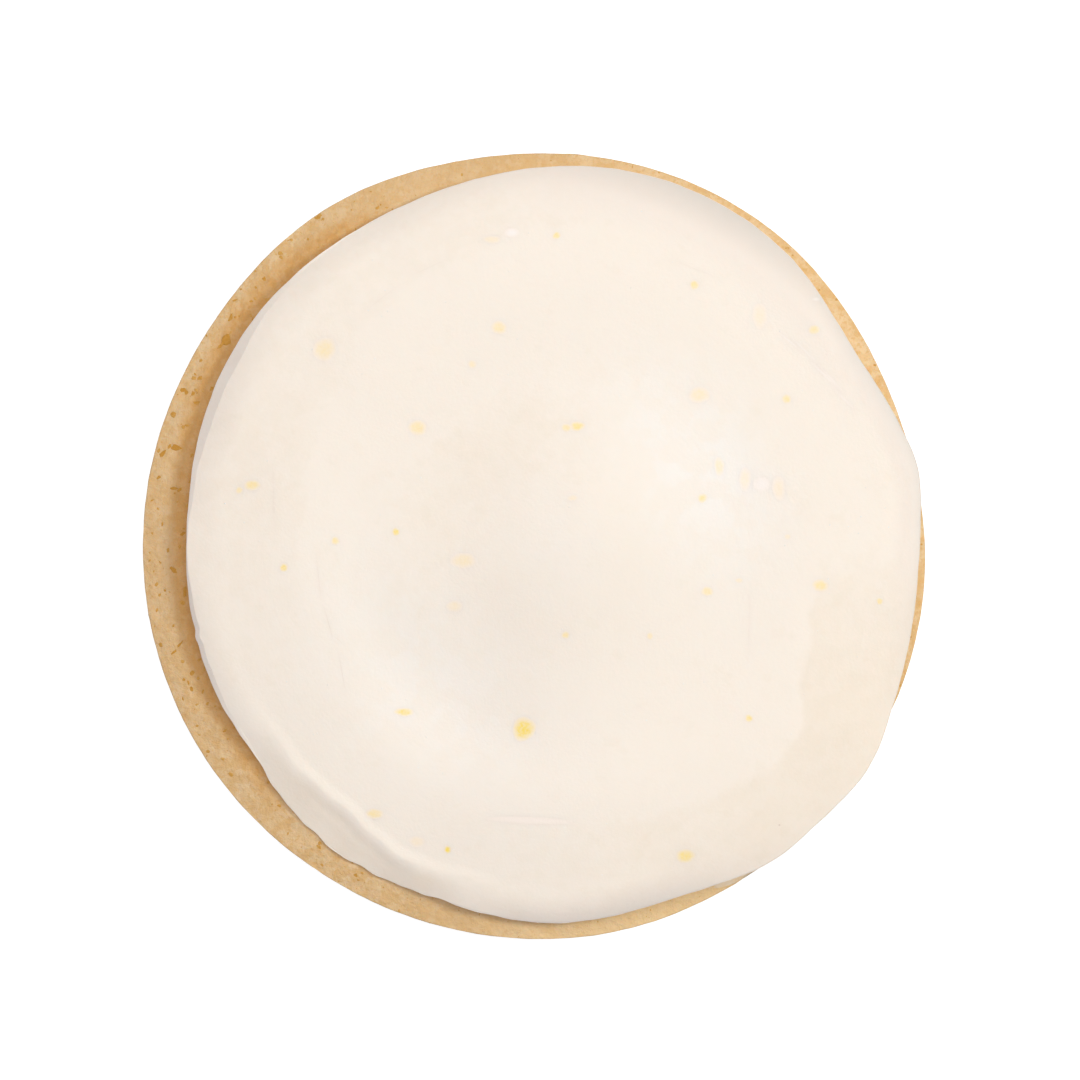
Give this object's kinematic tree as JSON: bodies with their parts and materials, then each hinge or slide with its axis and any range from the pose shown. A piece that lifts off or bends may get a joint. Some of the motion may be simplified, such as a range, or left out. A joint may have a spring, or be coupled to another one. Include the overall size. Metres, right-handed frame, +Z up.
{
  "type": "iced sugar cookie",
  "caption": "Round sugar biscuit with a smooth layer of cream icing that sits a little to one side, leaves a rim bare on the other and runs over the edge at one place.",
  "frame": {"origin": "centre of the biscuit's flat underside", "axes": "+Z up through the biscuit and the icing; +X towards the side where the icing reaches the biscuit's rim, -X towards the bare rim"},
  "size_m": [0.0794, 0.0798, 0.0116],
  "materials": {
    "biscuit": "matte baked crumb",
    "icing": "satin set icing"
  },
  "bodies": {
    "root": {"biscuit": "biscuit", "icing": "icing"}
  },
  "joints": []
}
